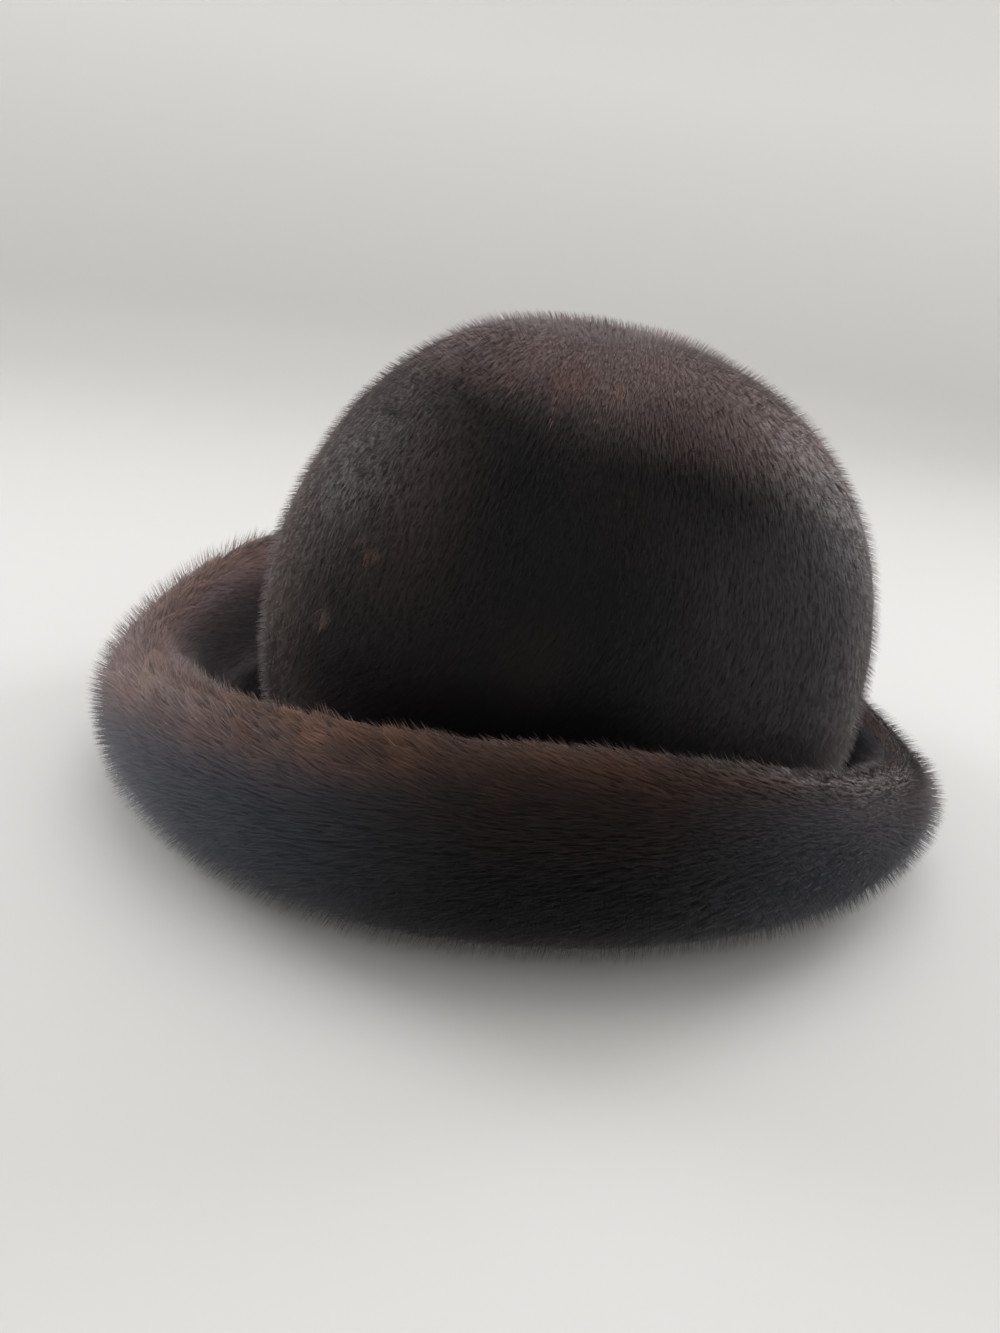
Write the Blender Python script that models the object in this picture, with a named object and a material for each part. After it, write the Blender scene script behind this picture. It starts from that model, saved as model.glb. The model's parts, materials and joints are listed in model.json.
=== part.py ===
"""A fur hat with a plain round crown and a brim rolled up all round, standing on the underside of its brim.

Metres, +Z up. The front of the hat is towards -Y and the wearer's left towards +X. The origin is on the
surface that the hat stands on, under the middle of its box. Angles round the hat run from the front, 0,
over the wearer's left, a quarter turn, to the back, half a turn.
"""

import math
import random
from collections import namedtuple

import bmesh
import bpy
from mathutils import Vector

# Crown
HAT_HEIGHT = 0.1735
CROWN_LENGTH = 0.226
CROWN_WIDTH = 0.194
CROWN_WALL = 0.012  # hide, foundation and pile
CROWN_SET_BACK = 0.012  # behind the middle of the brim
SHOULDER_HEIGHT = 0.058  # where the crown is widest
CROWN_DRAW_IN = 0.003  # how much closer the wall is at its lower edge
PEAK_FORWARD = 0.0195
FRONT_FULLNESS = 1.80  # powers of the dome's curve: 2 is an ellipse, and more is fuller
BACK_FULLNESS = 2.58

# Brim
BRIM_LENGTH = 0.314
BRIM_WIDTH = 0.268
CREST_HEIGHT = 0.0765  # at the sides
CREST_LEAN = 0.018  # how far the crest leans in from the widest line
CREST_HALF_WIDTH = 0.008
UNDERSIDE_RUN = 0.036  # from the widest line in to the band that the hat stands on
UNDERSIDE_LIFT = 0.010  # of the head opening's edge above the standing band
STANDING_BAND = 0.007  # width of the flat band under the brim
TROUGH_HEIGHT = 0.017  # of the hollow between crown and brim
SEAT_HEIGHT = 0.014  # where the crown's lower edge sits on the brim
COLLAR_HEIGHT = 0.006  # of the brim's inner edge up the crown's wall, from the seat
FIT_GAP = 0.0003

# Fur
LOCK_LENGTH = 0.026
LOCK_WIDTH = 0.0155
CROWN_RELIEF = 0.0014
BRIM_RELIEF = 0.0024
CROWN_SWIRL = math.radians(35)  # turn of the crown's nap between its lower edge and its peak
FUR_SEED = 21
CROWN_TONE = (0.022, 0.015, 0.013, 1.0)
BRIM_TONE = (0.060, 0.031, 0.019, 1.0)
CROWN_ROUGHNESS = 0.75
BRIM_ROUGHNESS = 0.70

# Shares of the sizes above, by hand
WIDEST_SHARE = 0.56  # height of the brim's widest line, of its crest's
CREST_DROP_SHARE = 0.30  # depth of the crest's round inner edge, of the crest's height above the trough
UNDERSIDE_SAG = 0.30  # height of the underside halfway in from the standing band, of its lift
DOME_SHARE = 0.82  # of the way down the crown's wall, from its peak to its shoulder
WHORL_SHARE = 0.07  # of the same way, the plain whorl at the peak
SHIFT_POWER = 2.5  # of the height, by which the crown comes forward
FUR_GROWTH = 2.2  # how fast the brim's fur deepens in from where it starts and ends
FOOT_DEPTH = 0.3  # of the fur beside the standing band, of what it would be there

# The brim round half of the hat, the same on the left and the right. Each length is a share of its size:
# crest of CREST_HEIGHT, lean of CREST_LEAN, run of UNDERSIDE_RUN and lift of UNDERSIDE_LIFT.
Station = namedtuple("Station", "degrees crest lean run lift")
STATIONS = (
    Station(0, 0.67, 1.00, 0.64, 1.00),
    Station(45, 0.87, 1.05, 0.84, 0.90),
    Station(90, 1.00, 1.00, 1.08, 0.55),
    Station(135, 0.71, 0.85, 1.10, 0.25),
    Station(180, 0.41, 0.60, 0.84, 0.10),
)

# The rows of points over one lock, from root to tip. middle and edge are how far along the lock's length
# its middle and its edges are there, and crown and side how high they stand, as shares of the relief.
# loose is how much of the locks' unevenness in length shows.
LockRow = namedtuple("LockRow", "middle edge crown side loose")
LOCK_ROWS = (
    LockRow(0.00, 0.00, 0.05, 0.05, 0.0),
    LockRow(0.50, 0.50, 1.00, 0.35, 0.0),
    LockRow(1.24, 0.90, 1.05, 0.30, 1.0),
)
LAST_TIP = 0.85  # of a lock's length, in the last band, which covers no other
LEAST_DEPTH = 0.7  # of the relief, where a lock still has a tip
LOCK_UNEVENNESS = 0.14  # share by which a lock's length, height and lean differ from the others'

# Spans of the brim's cross-section, and of the hollow
OUTER_LOWER_SPANS = 8
OUTER_UPPER_SPANS = 6
CREST_SPANS = 3
INNER_SPANS = 5
CAVITY_SIDES = 48
CAVITY_ROWS = 10
CAVITY_OVERRUN = 0.010
SLOPE_STEP = 1e-3
SMOOTH_BELOW = math.radians(50)

CROWN_BASE = SEAT_HEIGHT + FIT_GAP


def blend(low, high, share):
    return low + (high - low) * share


def round_the_hat(column, angle):
    """The value of one column of STATIONS at an angle, on a smooth curve through the stations."""
    half = [getattr(station, column) for station in STATIONS]
    ring = half + half[-2:0:-1]
    place = (angle / (2 * math.pi) * len(ring)) % len(ring)
    first = int(place)
    t = place - first
    before, here, after, beyond = (ring[(first + i) % len(ring)] for i in (-1, 0, 1, 2))
    bend = 2 * before - 5 * here + 4 * after - beyond
    twist = 3 * (here - after) + beyond - before
    return here + 0.5 * (t * (after - before) + t**2 * bend + t**3 * twist)


def wall_draw(height):
    """The crown's outline between its lower edge and its shoulder, as a share of the one at the shoulder."""
    drop = (SHOULDER_HEIGHT - height) / (SHOULDER_HEIGHT - CROWN_BASE)
    return 1 - CROWN_DRAW_IN / (CROWN_WIDTH / 2) * drop**2


def crown_ring(angle, height, share, inset=0.0):
    """The point of the crown's outline at this height, where share is how wide it is of its widest."""
    rise = max(0.0, height - CROWN_BASE) / (HAT_HEIGHT - CROWN_BASE)
    across = (CROWN_WIDTH / 2 - inset) * share * math.sin(angle)
    along = (CROWN_LENGTH / 2 - inset) * share * math.cos(angle)
    return Vector((across, CROWN_SET_BACK - along - PEAK_FORWARD * rise**SHIFT_POWER, height))


def crown_wall(angle, way, inset=0.0):
    """A point of the crown's wall. way runs from 0 at the peak to 1 at the lower edge."""
    if way >= DOME_SHARE:
        drop = (way - DOME_SHARE) / (1 - DOME_SHARE)
        height = blend(SHOULDER_HEIGHT, CROWN_BASE, drop)
        return crown_ring(angle, height, wall_draw(height), inset)
    fullness = blend(BACK_FULLNESS, FRONT_FULLNESS, (1 + math.cos(angle)) / 2)
    turn = math.pi / 2 * (1 - max(0.0, way) / DOME_SHARE)
    rise = math.sin(turn) ** (2 / fullness)
    reach = max(0.0, math.cos(turn)) ** (2 / fullness)
    height = blend(SHOULDER_HEIGHT, HAT_HEIGHT - inset, rise)
    return crown_ring(angle, height, reach, inset)


def quarter(start, end, spans, starts_level):
    """Points after start on a quarter of an ellipse to end, which leaves start level or else upright."""
    points = []
    for i in range(1, spans + 1):
        turn = math.pi / 2 * i / spans
        near, far = 1 - math.cos(turn), math.sin(turn)
        out, up = (far, near) if starts_level else (near, far)
        points.append((blend(start[0], end[0], out), blend(start[1], end[1], up)))
    return points


def brim_profile(angle, reach, flare):
    """The brim's cross-section as (out from the crown's lower edge, height) pairs, and the fur's depth at
    each as a share of the relief. It starts at the head opening, and goes under the brim, up its outer
    face, over its crest and down the trough to the crown. flare is how much wider the crown is at the
    collar's height than at its lower edge."""
    crest = CREST_HEIGHT * round_the_hat("crest", angle)
    lean = CREST_LEAN * round_the_hat("lean", angle)
    run = UNDERSIDE_RUN * round_the_hat("run", angle)
    lift = UNDERSIDE_LIFT * round_the_hat("lift", angle)
    band_out = reach - run
    band_in = band_out - STANDING_BAND
    opening = -CROWN_WALL
    halfway = ((opening + band_in) / 2, UNDERSIDE_SAG * lift)
    collar = (flare + FIT_GAP, SEAT_HEIGHT + COLLAR_HEIGHT)
    crest_top = (reach - lean, crest)
    crest_in = (crest_top[0] - CREST_HALF_WIDTH, crest - CREST_DROP_SHARE * (crest - TROUGH_HEIGHT))
    trough = ((crest_in[0] + collar[0]) / 2, TROUGH_HEIGHT)

    underside = [(opening, lift), halfway, (band_in, 0.0)]
    outside = [(band_out, 0.0)]
    outside += quarter(outside[-1], (reach, WIDEST_SHARE * crest), OUTER_LOWER_SPANS, True)
    outside += quarter(outside[-1], crest_top, OUTER_UPPER_SPANS, False)
    outside += quarter(crest_top, crest_in, CREST_SPANS, True)
    outside += quarter(crest_in, trough, INNER_SPANS, False)
    seat = [collar, (FIT_GAP, SEAT_HEIGHT), (opening, SEAT_HEIGHT)]
    last = len(outside) - 1
    depths = [min(1.0, FUR_GROWTH * math.sin(math.pi * i / last)) for i in range(last + 1)]
    depths[1] *= FOOT_DEPTH
    return underside + outside + seat, [0.0] * len(underside) + depths + [0.0] * len(seat)


def brim_section(angle):
    """The brim's cross-section at an angle as points in space, and the fur's depth at each."""
    edge = crown_ring(angle, CROWN_BASE, wall_draw(CROWN_BASE))
    collar_height = SEAT_HEIGHT + COLLAR_HEIGHT
    collar = crown_ring(angle, collar_height, wall_draw(collar_height))
    widest = Vector((BRIM_WIDTH / 2 * math.sin(angle), -BRIM_LENGTH / 2 * math.cos(angle), 0.0))
    edge.z = collar.z = 0.0
    out = (widest - edge).normalized()
    profile, depths = brim_profile(angle, (widest - edge).length, (collar - edge).dot(out))
    return [edge + out * x + Vector((0.0, 0.0, z)) for x, z in profile], depths


def crown_point(way, column, rise, columns):
    """The point a given height above the crown's wall. column may lie between two columns."""
    angle = 2 * math.pi * column / columns + CROWN_SWIRL * (1 - way) ** 2
    down = crown_wall(angle, way + SLOPE_STEP) - crown_wall(angle, way - SLOPE_STEP)
    round_it = crown_wall(angle + SLOPE_STEP, way) - crown_wall(angle - SLOPE_STEP, way)
    return crown_wall(angle, way) + down.cross(round_it).normalized() * rise


def brim_point(angle, column, rise):
    """The point a given height above the brim's surface. column may lie between two of its section."""
    here, depths = brim_section(angle)
    ahead = brim_section(angle + SLOPE_STEP)[0]
    count = len(here)
    first = math.floor(column)
    share = column - first
    before, low, high, beyond = ((first + i) % count for i in (-1, 0, 1, 2))
    point = here[low].lerp(here[high], share)
    across = (here[high] - here[before]).lerp(here[beyond] - here[low], share)
    round_it = ahead[low].lerp(ahead[high], share) - point
    depth = blend(depths[low], depths[high], share)
    return point + round_it.cross(across).normalized() * rise * depth


def lock_rows(start, end, bands, columns, furred, surface, dice):
    """Rows of points over bands of locks, from the roots at start to the tips at end, and the level row
    that ends them. The locks of one band lie between those of the last. furred gives the share of a lock's
    relief that a column has, and surface(place, column, share of relief) the point."""
    step = (end - start) / bands
    rows = []
    for band in range(bands):
        longest = LAST_TIP if band == bands - 1 else LOCK_ROWS[-1].middle
        spread = (-LOCK_UNEVENNESS, LOCK_UNEVENNESS)
        uneven = [[dice.uniform(*spread) for _ in range(3)] for _ in range(columns)]
        for row in LOCK_ROWS:
            points = []
            for column in range(columns):
                stretch, swell, sway = uneven[column]
                depth = furred(column)
                along, aside, rise = row.edge, 0.0, row.side
                if (column + band) % 2 == 0 and depth > LEAST_DEPTH:
                    middle = min(row.middle, longest) * (1 + stretch * row.loose)
                    along = blend(row.edge, middle, depth)
                    aside = sway * row.middle * depth
                    rise = row.crown
                points.append(surface(start + step * (band + along), column + aside, rise * (1 + swell)))
            rows.append(points)
    rows.append([surface(end, column, LOCK_ROWS[0].side) for column in range(columns)])
    return rows


def join_rows(shape, rows, close):
    """Faces between neighbouring rows of points, each row a closed loop. close joins the last to the first."""
    loops = [[shape.verts.new(point) for point in row] for row in rows]
    pairs = list(zip(loops, loops[1:]))
    if close:
        pairs.append((loops[-1], loops[0]))
    for low, high in pairs:
        for i in range(len(low)):
            after = (i + 1) % len(low)
            shape.faces.new((low[i], low[after], high[after], high[i]))
    return loops


def fan(shape, loop, point):
    """Closes a loop with triangles to one point."""
    tip = shape.verts.new(point)
    for i, vertex in enumerate(loop):
        shape.faces.new((tip, vertex, loop[(i + 1) % len(loop)]))


def fur_material(name, tone, roughness):
    material = bpy.data.materials.new(name)
    material.use_nodes = True
    shader = material.node_tree.nodes["Principled BSDF"]
    shader.inputs["Base Color"].default_value = tone
    shader.inputs["Roughness"].default_value = roughness
    shader.inputs["Metallic"].default_value = 0.0
    return material


def add_object(name, shape, material=None):
    """Makes a named object of a closed shape, with its faces pointing out."""
    bmesh.ops.recalc_face_normals(shape, faces=shape.faces)
    mesh = bpy.data.meshes.new(name)
    shape.to_mesh(mesh)
    shape.free()
    mesh.shade_smooth()
    mesh.set_sharp_from_angle(angle=SMOOTH_BELOW)
    if material:
        mesh.materials.append(material)
    piece = bpy.data.objects.new(name, mesh)
    bpy.context.scene.collection.objects.link(piece)
    return piece


def make_head_room():
    """The hollow of the crown, open below, as a cutter."""
    shape = bmesh.new()
    angles = [2 * math.pi * i / CAVITY_SIDES for i in range(CAVITY_SIDES)]
    rows = []
    for i in range(1, CAVITY_ROWS + 1):
        rows.append([crown_wall(angle, i / CAVITY_ROWS, CROWN_WALL) for angle in angles])
    rows.append([point - Vector((0.0, 0.0, CAVITY_OVERRUN)) for point in rows[-1]])
    loops = join_rows(shape, rows, close=False)
    fan(shape, loops[0], crown_wall(0.0, 0.0, CROWN_WALL))
    shape.faces.new(loops[-1])
    cutter = add_object("head_room", shape)
    cutter.hide_render = True
    cutter.display_type = "WIRE"
    return cutter


def make_crown():
    """The round crown: a fur shell whose locks run down from a whorl at the peak."""
    dice = random.Random(FUR_SEED)
    columns = 2 * round(math.pi * (CROWN_LENGTH + CROWN_WIDTH) / 2 / LOCK_WIDTH)
    wall_length = sum(
        (crown_wall(0.0, (i + 1) / CAVITY_ROWS) - crown_wall(0.0, i / CAVITY_ROWS)).length
        for i in range(CAVITY_ROWS)
    )
    # The fur ends above the collar, where the wall goes down into the brim.
    collar_drop = (SHOULDER_HEIGHT - SEAT_HEIGHT - 2 * COLLAR_HEIGHT) / (SHOULDER_HEIGHT - CROWN_BASE)
    fur_end = blend(DOME_SHARE, 1.0, collar_drop)
    bands = round(wall_length * (fur_end - WHORL_SHARE) / LOCK_LENGTH)

    def surface(way, column, rise):
        return crown_point(way, column, rise * CROWN_RELIEF, columns)

    rows = lock_rows(WHORL_SHARE, fur_end, bands, columns, lambda column: 1.0, surface, dice)
    rows.append([crown_point(1.0, column, 0.0, columns) for column in range(columns)])
    for point in rows[-1]:
        point.z = CROWN_BASE
    shape = bmesh.new()
    loops = join_rows(shape, rows, close=False)
    fan(shape, loops[0], crown_wall(0.0, 0.0))
    shape.faces.new(loops[-1])
    crown = add_object("crown", shape, fur_material("crown_fur", CROWN_TONE, CROWN_ROUGHNESS))
    cut = crown.modifiers.new("head_room", "BOOLEAN")
    cut.operation = "DIFFERENCE"
    cut.solver = "EXACT"
    cut.object = make_head_room()
    return crown


def make_brim():
    """The brim rolled up all round: its nap runs round it one way, from the back over the left to the front."""
    dice = random.Random(FUR_SEED + 1)
    depths = brim_section(0.0)[1]
    girth = math.pi * (BRIM_LENGTH + BRIM_WIDTH) / 2
    bands = 2 * round(girth / LOCK_LENGTH / 2)

    def surface(angle, column, rise):
        return brim_point(angle, column, rise * BRIM_RELIEF)

    rows = lock_rows(math.pi, -math.pi, bands, len(depths), lambda column: depths[column], surface, dice)
    shape = bmesh.new()
    join_rows(shape, rows[:-1], close=True)
    return add_object("brim", shape, fur_material("brim_fur", BRIM_TONE, BRIM_ROUGHNESS))


def centre_on_origin(pieces):
    """Moves the pieces' points so that the middle of their common box is over the origin."""
    points = [vertex.co for piece in pieces for vertex in piece.data.vertices]
    for axis in (0, 1):
        middle = (min(p[axis] for p in points) + max(p[axis] for p in points)) / 2
        for point in points:
            point[axis] -= middle


def main():
    for old in list(bpy.data.objects):
        bpy.data.objects.remove(old, do_unlink=True)
    crown = make_crown()
    brim = make_brim()
    centre_on_origin([crown, brim, bpy.data.objects["head_room"]])


main()
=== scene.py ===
"""A fur hat with a plain round crown and a brim rolled up all round: its hides, its fur and a plain stage.

Metres, +Z up. The front of the hat is towards -Y and the wearer's left towards +X. Angles round the hat run
from the front, 0, over the wearer's left, a quarter turn, to the back, half a turn.
"""

import json
import math
from collections import namedtuple

import bmesh
import bpy
import numpy as np
from bpy.props import FloatProperty, FloatVectorProperty, IntProperty, PointerProperty
from mathutils import Matrix, Vector
from mathutils.kdtree import KDTree

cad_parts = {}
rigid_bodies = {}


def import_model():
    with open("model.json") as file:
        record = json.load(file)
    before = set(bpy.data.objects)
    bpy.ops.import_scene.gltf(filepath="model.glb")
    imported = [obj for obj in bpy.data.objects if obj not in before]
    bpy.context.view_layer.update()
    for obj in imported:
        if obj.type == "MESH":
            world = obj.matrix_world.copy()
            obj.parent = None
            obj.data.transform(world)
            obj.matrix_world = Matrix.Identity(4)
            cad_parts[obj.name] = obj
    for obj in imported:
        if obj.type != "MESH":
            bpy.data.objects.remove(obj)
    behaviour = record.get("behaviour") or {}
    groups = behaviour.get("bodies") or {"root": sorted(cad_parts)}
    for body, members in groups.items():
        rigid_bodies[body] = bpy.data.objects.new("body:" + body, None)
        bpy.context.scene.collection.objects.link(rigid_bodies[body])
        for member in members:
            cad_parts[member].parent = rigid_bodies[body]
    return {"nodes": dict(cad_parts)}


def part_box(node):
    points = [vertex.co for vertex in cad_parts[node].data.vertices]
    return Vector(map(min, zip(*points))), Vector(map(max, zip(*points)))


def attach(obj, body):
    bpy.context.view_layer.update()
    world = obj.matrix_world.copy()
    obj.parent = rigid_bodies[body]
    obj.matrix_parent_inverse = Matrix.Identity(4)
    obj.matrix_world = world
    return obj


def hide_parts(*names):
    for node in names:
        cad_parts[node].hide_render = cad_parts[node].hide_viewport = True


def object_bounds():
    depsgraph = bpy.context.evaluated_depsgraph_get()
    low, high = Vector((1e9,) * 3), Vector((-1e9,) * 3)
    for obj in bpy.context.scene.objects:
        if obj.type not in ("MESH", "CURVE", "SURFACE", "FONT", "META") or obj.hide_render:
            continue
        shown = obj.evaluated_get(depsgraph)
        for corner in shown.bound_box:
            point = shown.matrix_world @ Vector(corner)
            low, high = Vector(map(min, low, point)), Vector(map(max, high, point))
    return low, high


bl_info = {
    "name": "Rolled-brim fur hat",
    "version": (1, 0, 0),
    "blender": (4, 5, 0),
    "location": "3D View > Sidebar > Fur Hat",
    "description": "Adds the hides, the fur and a plain stage of a fur hat with a rolled brim",
    "category": "Add Mesh",
}

for old in list(bpy.data.objects):
    bpy.data.objects.remove(old)
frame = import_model()
CAD_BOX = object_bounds()
CAD_HIGH = CAD_BOX[1]
CROWN_LOW, CROWN_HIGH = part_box("crown")
CROWN_MIDDLE = np.array((CROWN_LOW + CROWN_HIGH) / 2)[:2]
CROWN_HALF = np.array((CROWN_HIGH - CROWN_LOW) / 2)[:2]
BRIM_LOW, BRIM_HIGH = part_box("brim")
BRIM_MIDDLE = np.array((BRIM_LOW + BRIM_HIGH) / 2)[:2]
BRIM_HALF = np.array((BRIM_HIGH - BRIM_LOW) / 2)[:2]

# The crown's hide starts as a dome around the crown that is shrunk onto it.
DOME_SEGMENTS, DOME_RINGS = 120, 72
DOME_SPARE = 1.2  # of the crown's size
DOME_CUT = 0.0005  # height of the hide's lower edge over the crown's

# Where fur grows. Lengths are in metres and shares are of the crown's half size.
BARE_EDGE = 0.004  # height of the bare lower edge of the crown
CROWN_HEART = 0.05  # height of the point that the crown's outer side faces away from
TROUGH_START = 1.03  # beyond this share, the whole brim has fur
UNDERSIDE_START = 0.90  # and beyond this one, what faces down more than UNDERSIDE_FACING
UNDERSIDE_FACING = -0.2

# The coats of hair of each hide. seed is added to the hide's own; share is of all its hairs; length and width
# are shares of the pile's; root and tip are the angles in degrees at which a hair stands off the hide at its
# root and near its tip. gather is how far its tip is drawn to its tuft's, stray how unevenly the hairs lie,
# follow how much they rise and sink with the place, and tint how much of the place's chestnut, and of its
# wear and painted light, they take.
Coat = namedtuple("Coat", "name seed share length width root tip gather stray follow tint")
COATS = (
    Coat("underfur", 8, 0.37, 0.80, 1.60, 34, 16, 0.25, 0.30, 0.4, 1.0),
    Coat("pile", 4, 0.37, 1.10, 1.10, 32, 12, 0.55, 0.22, 0.4, 1.0),
    Coat("guard_hair", 10, 0.26, 1.05, 0.70, 82, 74, 0.25, 0.30, 1.5, 0.9),
)

# The seeds of each hide's fur, and what is added to them for its unevenness and its tufts.
CROWN_SEED, BRIM_SEED = 100, 200
FIELD_SEED, TUFT_SEED = 1, 2

# How the hairs of a coat are shaped and lie.
BEND = 0.45  # of a hair's length, where it turns from its root's angle to its tip's
LENGTHS = (0.85, 1.15)  # the shortest and the longest, as shares of the coat's length
WIDTHS = (0.8, 1.2)  # the narrowest and the widest, as shares of the coat's width
HAIR_SCATTER, TUFT_SCATTER = 0.5, 0.6  # how far single hairs and tufts turn from the nap
TURN_WAVE, RISE_WAVE = 0.012, 0.008  # metres over which the nap turns to and fro, and rises and sinks
RISE_BY_HAIR, RISE_BY_PLACE = 5, 9  # degrees by which it rises and sinks, hair by hair and place by place
TAMEST = 0.4  # how unruly even a wholly tame hair is in that
LEAST_ROOT, LEAST_TIP = 8, 4  # the flattest angles in degrees of a root and a tip
DRAW_LIMIT = 0.7  # of its length, the farthest that a hair's tip is drawn to its tuft's
DRAWN_BEND = 0.3  # how far its bend is drawn with it
TWIST = math.radians(25)  # how far its flat side is turned
SUNK = 0.0003  # metres by which its root is in the hide
FLOOR_GAP = 0.0004  # least height in metres of its bend and tip over the floor

# How the hairs of a coat are coloured.
UNDERCOAT = 0.6  # of a hair's length, whose colour the hide has
TUFT_TINTS = (0.60, 1.20)  # the least and most of the chestnut that a tuft carries
HAIR_TONES, TUFT_TONES = 0.7, 0.4  # how far single hairs and tufts differ in tone
TONES = (-1.6, 1.8)  # the darkest and the lightest tone
TONE_STEP = 0.32  # how much lighter a hair is for each step of its tone
SHADE_SCATTER = 0.12  # how far its shading turns from the hide's
EVEN_ROOT = 0.75  # how much of its colour the root of a wholly tame hair has already
ROOT_SHARES = (0.05, 0.65)  # the least and most of that

# How fast each colour comes in along a hair: below 1 it comes near the root, above 1 near the tip.
# Chestnut that comes in only near the tip leaves the roots dark: painted shade in the gaps between tufts.
HAIR_ONSET, PAINTED_SHEEN_ONSET, WEAR_AND_PAINTED_LIGHT_ONSET, CHESTNUT_ONSET = 0.8, 0.6, 0.6, 1.4

# The crown's whorl, from which its nap runs down, the way that the hair with the most painted light faces,
# and the side of it on which that light is painted in full.
CROWN_WHORL = np.array([-0.034, 0.045, CAD_HIGH.z])
WHORL_RADIUS = 0.022
WHORL_TURN = 0.25  # how much the nap turns on its way down
WHORL_SPREAD, WHORL_DROP = 4, 0.05  # how much the nap runs away from the whorl, and down
PAINTED_LIGHT_WAY = np.array([-0.25, 0.25, 1.0])
PAINTED_LIGHT_SIDE = np.array([0.90, -0.14, 0.41])

# The crown's colours, from 0 to 1.
FLECKS, FRONT_CHESTNUT_AND_PAINTED_SHEEN = 0.02, 0.15  # chestnut: in flecks all over, and in front, partly its own and partly a painted warm sheen on that edge
FAR_SIDE_LEFT, PEAK_LOST = 0.45, 0.3  # of the painted light on the top: left on the far side, and lost on the peak
SHOULDER_PAINTED_LIGHT, FRONT_EDGE_PAINTED_LIGHT, BACK_EDGE_PAINTED_LIGHT = 0.15, 0.06, 0.07  # painted light on the crown's edges: its left shoulder, its front, its back
CROWN_PAINTED_SHEEN = 0.32  # painted cool sheen behind

# The crown's hair: all over, and in the whorl.
CROWN_RISE, WHORL_RISE = -12.0, 6.0  # degrees
CROWN_UNRULY, WHORL_UNRULY = 0.18, 0.30
CROWN_GATHER = 0.05

# The brim's nap runs level where the hide faces up by NAP_LEVEL. Within NAP_SPAN of that, it turns away from
# there, over the crest and under the brim, by NAP_RISE.
NAP_LEVEL, NAP_SPAN = math.radians(5), math.radians(35)
NAP_RISE = 0.28

# The brim's colours, from 0 to 1. Its crest's chestnut is in the table below.
OUTSIDE_CHESTNUT = 0.10
FRONT_PAINTED_LIGHT, INSIDE_PAINTED_LIGHT, CREST_PAINTED_LIGHT = 0.62, 0.90, 0.18  # painted light in front: outside, inside, on the crest
BACK_PAINTED_LIGHT, LEFT_PAINTED_LIGHT = 0.20, 0.25  # painted light behind, and what the left has more
FRONT_PAINTED_SHEEN, INSIDE_PAINTED_SHEEN = 0.45, 0.8  # painted cool sheen at the very front, and inside behind
BACK_PAINTED_SHEEN, LEFT_PAINTED_SHEEN = 0.10, 0.80  # painted cool sheen behind, and what the left has more

# The brim's hair: all over, in tufts on the front's crest, under the brim, inside, and on the sides' crest.
TUFTS_LONGER, UNDER_SHORTER, INSIDE_SHORTER, SIDES_SHORTER = 0.3, 0.35, 0.3, 0.2
UNDER_RISE, CREST_RISE, SIDES_LOFT = -4.0, -30.0, 15.0  # degrees
BRIM_UNRULY, TUFTS_UNRULY = 0.22, 0.6
BRIM_GATHER, TUFTS_GATHER = 0.10, 1.3

# Marks on the crown's left side: the middle and radius of each in metres, and how chestnut and how faded the
# hair is there.
Mark = namedtuple("Mark", "x y z radius chestnut faded")
MARKS = (
    Mark(0.046, -0.010, 0.162, 0.008, 0.40, 0.45),  # worn patch
    Mark(0.050, 0.004, 0.160, 0.004, 0.40, 0.60),
    Mark(0.041, -0.028, 0.162, 0.005, 0.30, 0.45),
    Mark(0.061, -0.066, 0.109, 0.004, 0.35, 0.10),  # brown mark
    Mark(0.056, -0.080, 0.085, 0.004, 0.30, 0.50),  # pale tuft
    Mark(0.088, 0.036, 0.105, 0.010, 0.00, 0.06),  # ruffled hair
    Mark(0.087, 0.048, 0.098, 0.007, 0.00, 0.06),
)

# The brim's crest by the angle from the front: how chestnut it is, and the angles of the surface, from
# outwards towards up, between which that starts.
CrestLook = namedtuple("CrestLook", "from_front chestnut start full")
CREST = (
    CrestLook(0, 0.60, 6, 42),
    CrestLook(30, 0.50, 8, 44),
    CrestLook(45, 0.48, 8, 44),
    CrestLook(57, 0.80, 10, 48),
    CrestLook(70, 0.50, 18, 54),
    CrestLook(85, 0.30, 22, 58),
    CrestLook(110, 0.20, 24, 58),
    CrestLook(135, 0.14, 24, 58),
    CrestLook(180, 0.12, 24, 58),
)

# The floor is a flat disc with a rounded corner and a short wall all round it, in metres.
FLOOR_RADIUS = 1.5
FLOOR_SEGMENTS = 96
CORNER_RADIUS, CORNER_STEPS = 0.9, 10
WALL_HEIGHT = 0.9

# The light all round, and the lamps: the place and width of each in metres, its spread in degrees, the name
# of the setting for its strength, and its tint. They are turned towards LAMPS_AIM.
SKY_TINT = (1.0, 0.99, 0.97, 1.0)
Lamp = namedtuple("Lamp", "name place width spread strength tint")
LAMPS = (
    Lamp("ceiling_lamp", (-0.2, 0.1, 1.6), 1.2, 180, "lamp", (1.0, 0.98, 0.96)),
    Lamp("front_lamp", (-0.7, -1.2, 0.6), 0.7, 50, "side_lamps", (0.97, 0.98, 1.0)),
    Lamp("back_lamp", (-0.7, 1.2, 0.6), 0.7, 50, "side_lamps", (0.97, 0.98, 1.0)),
)
LAMPS_AIM = Vector((0, 0, 0.08))

# The camera: its place in metres, its lens and sensor in millimetres, and the ways to its right and behind.
CAMERA_PLACE = (0.3508, -0.0664, 0.2059)
CAMERA_LENS, CAMERA_SENSOR = 27.0, 36.0
CAMERA_RIGHT = Vector((0.0949, 0.9881, 0.1214))
CAMERA_BACK = Vector((0.8994, -0.1374, 0.4149))


def blend(low, high, share):
    return low + (high - low) * share


def ramp(values, start, end):
    """0 below start, 1 above end, and smooth between them."""
    share = np.clip((values - start) / (end - start), 0.0, 1.0)
    return share * share * (3 - 2 * share)


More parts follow.
